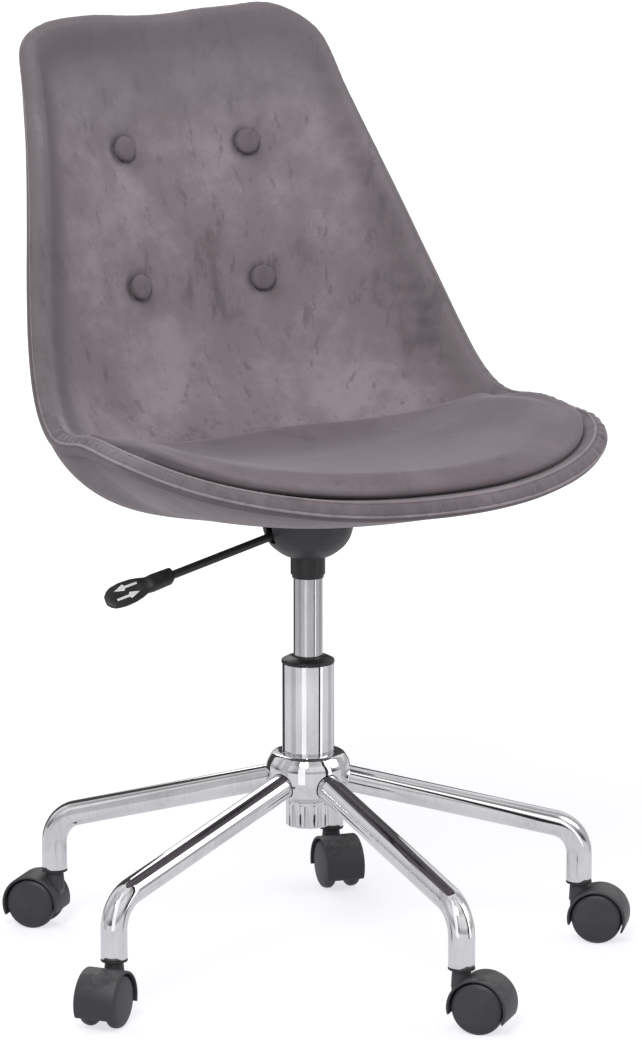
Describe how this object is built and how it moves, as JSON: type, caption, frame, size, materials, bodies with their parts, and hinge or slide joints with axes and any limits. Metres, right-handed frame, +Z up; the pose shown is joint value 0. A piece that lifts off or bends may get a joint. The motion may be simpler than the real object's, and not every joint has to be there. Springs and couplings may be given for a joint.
{
  "type": "swivel office chair",
  "caption": "Swivel chair: padded velvet shell seat with buttoned back, loose-looking seat pad, height lever, gas spring column and chromed tube base on twin-wheel casters.",
  "frame": {"origin": "on the floor, directly under the column's axis", "axes": "+Z up; the sitter faces -Y, so the sitter's right is -X"},
  "size_m": [0.6196, 0.6098, 0.9044],
  "materials": {
    "chrome": "polished chrome plate",
    "spring_steel": "ground and polished steel",
    "zinc_steel": "zinc plated steel",
    "black_plastic": "moulded nylon, satin",
    "grey_plastic": "moulded plastic, fine texture",
    "hard_shell": "moulded polypropylene",
    "velvet": "brushed velvet pile over foam",
    "velvet_back": "brushed velvet pile over thin foam"
  },
  "bodies": {
    "base": {"hub_body": "chrome", "hub_skirt": "chrome", "arm_1": "chrome", "arm_2": "chrome", "arm_3": "chrome", "arm_4": "chrome", "arm_5": "chrome", "caster_socket_1": "black_plastic", "caster_socket_2": "black_plastic", "caster_socket_3": "black_plastic", "caster_socket_4": "black_plastic", "caster_socket_5": "black_plastic", "caster_stem_1": "spring_steel", "caster_stem_2": "spring_steel", "caster_stem_3": "spring_steel", "caster_stem_4": "spring_steel", "caster_stem_5": "spring_steel", "column_tube": "chrome", "guide_bush": "black_plastic"},
    "piston": {"piston_rod": "spring_steel", "thrust_bearing": "spring_steel", "retaining_clip": "zinc_steel"},
    "seat": {"lift_cylinder": "spring_steel", "seat_plate": "black_plastic", "mechanism_cover": "grey_plastic", "seat_shell": "hard_shell", "inner_upholstery": "velvet", "outer_upholstery": "velvet_back", "seat_cushion": "velvet", "tuft_button_1": "velvet", "tuft_button_2": "velvet", "tuft_button_3": "velvet", "tuft_button_4": "velvet", "plate_bolt_1": "zinc_steel", "plate_bolt_2": "zinc_steel", "plate_bolt_3": "zinc_steel", "plate_bolt_4": "zinc_steel"},
    "lever": {"lever_rod": "black_plastic", "lever_handle": "black_plastic"},
    "button": {"release_button": "zinc_steel"},
    "caster_1": {"caster_hood_1": "black_plastic", "caster_axle_1": "zinc_steel"},
    "left_roller_1": {"wheel_left_1": "grey_plastic"},
    "right_roller_1": {"wheel_right_1": "grey_plastic"},
    "caster_2": {"caster_hood_2": "black_plastic", "caster_axle_2": "zinc_steel"},
    "left_roller_2": {"wheel_left_2": "grey_plastic"},
    "right_roller_2": {"wheel_right_2": "grey_plastic"},
    "caster_3": {"caster_hood_3": "black_plastic", "caster_axle_3": "zinc_steel"},
    "left_roller_3": {"wheel_left_3": "grey_plastic"},
    "right_roller_3": {"wheel_right_3": "grey_plastic"},
    "caster_4": {"caster_hood_4": "black_plastic", "caster_axle_4": "zinc_steel"},
    "left_roller_4": {"wheel_left_4": "grey_plastic"},
    "right_roller_4": {"wheel_right_4": "grey_plastic"},
    "caster_5": {"caster_hood_5": "black_plastic", "caster_axle_5": "zinc_steel"},
    "left_roller_5": {"wheel_left_5": "grey_plastic"},
    "right_roller_5": {"wheel_right_5": "grey_plastic"}
  },
  "joints": [
    {"name": "seat_swivel", "type": "hinge", "parent": "base", "child": "piston", "pos_m": [0, 0, 0.168], "axis": [0, 0, 1], "continuous": true},
    {"name": "seat_height", "type": "slide", "parent": "piston", "child": "seat", "axis": [0, 0, 1], "range_m": [-0.072, 0]},
    {"name": "lever_lift", "type": "hinge", "parent": "seat", "child": "lever", "pos_m": [-0.024, 0, 0.4233], "axis": [0, 1, 0], "range_deg": [0, 6], "stiffness_Nm_per_rad": 1.2, "springref_deg": -11.46},
    {"name": "button_press", "type": "slide", "parent": "seat", "child": "button", "axis": [0, 0, -1], "range_m": [0, 0.0028]},
    {"name": "caster_swivel_1", "type": "hinge", "parent": "base", "child": "caster_1", "pos_m": [0, -0.2733, 0.04], "axis": [0, 0, 1], "continuous": true},
    {"name": "left_wheel_roll_1", "type": "hinge", "parent": "caster_1", "child": "left_roller_1", "pos_m": [0.01259, -0.28884, 0.02469], "axis": [-0.7771, -0.6293, 0], "continuous": true},
    {"name": "right_wheel_roll_1", "type": "hinge", "parent": "caster_1", "child": "right_roller_1", "pos_m": [0.01259, -0.28884, 0.02469], "axis": [-0.7771, -0.6293, 0], "continuous": true},
    {"name": "caster_swivel_2", "type": "hinge", "parent": "base", "child": "caster_2", "pos_m": [0.25992, -0.08445, 0.04], "axis": [0, 0, 1], "continuous": true},
    {"name": "left_wheel_roll_2", "type": "hinge", "parent": "caster_2", "child": "left_roller_2", "pos_m": [0.27455, -0.09809, 0.02469], "axis": [-0.682, -0.7314, 0], "continuous": true},
    {"name": "right_wheel_roll_2", "type": "hinge", "parent": "caster_2", "child": "right_roller_2", "pos_m": [0.27455, -0.09809, 0.02469], "axis": [-0.682, -0.7314, 0], "continuous": true},
    {"name": "caster_swivel_3", "type": "hinge", "parent": "base", "child": "caster_3", "pos_m": [0.16064, 0.2211, 0.04], "axis": [0, 0, 1], "continuous": true},
    {"name": "left_wheel_roll_3", "type": "hinge", "parent": "caster_3", "child": "left_roller_3", "pos_m": [0.15648, 0.20154, 0.02469], "axis": [-0.9781, 0.2079, 0], "continuous": true},
    {"name": "right_wheel_roll_3", "type": "hinge", "parent": "caster_3", "child": "right_roller_3", "pos_m": [0.15648, 0.20154, 0.02469], "axis": [-0.9781, 0.2079, 0], "continuous": true},
    {"name": "caster_swivel_4", "type": "hinge", "parent": "base", "child": "caster_4", "pos_m": [-0.16064, 0.2211, 0.04], "axis": [0, 0, 1], "continuous": true},
    {"name": "left_wheel_roll_4", "type": "hinge", "parent": "caster_4", "child": "left_roller_4", "pos_m": [-0.17376, 0.2362, 0.02469], "axis": [0.7547, 0.6561, 0], "continuous": true},
    {"name": "right_wheel_roll_4", "type": "hinge", "parent": "caster_4", "child": "right_roller_4", "pos_m": [-0.17376, 0.2362, 0.02469], "axis": [0.7547, 0.6561, 0], "continuous": true},
    {"name": "caster_swivel_5", "type": "hinge", "parent": "base", "child": "caster_5", "pos_m": [-0.25992, -0.08445, 0.04], "axis": [0, 0, 1], "continuous": true},
    {"name": "left_wheel_roll_5", "type": "hinge", "parent": "caster_5", "child": "left_roller_5", "pos_m": [-0.2759, -0.09649, 0.02469], "axis": [-0.6018, 0.7986, 0], "continuous": true},
    {"name": "right_wheel_roll_5", "type": "hinge", "parent": "caster_5", "child": "right_roller_5", "pos_m": [-0.2759, -0.09649, 0.02469], "axis": [-0.6018, 0.7986, 0], "continuous": true}
  ],
  "couplings": [
    {"joint": "button_press", "follows": "lever_lift", "m_per_rad": 0.0265}
  ]
}
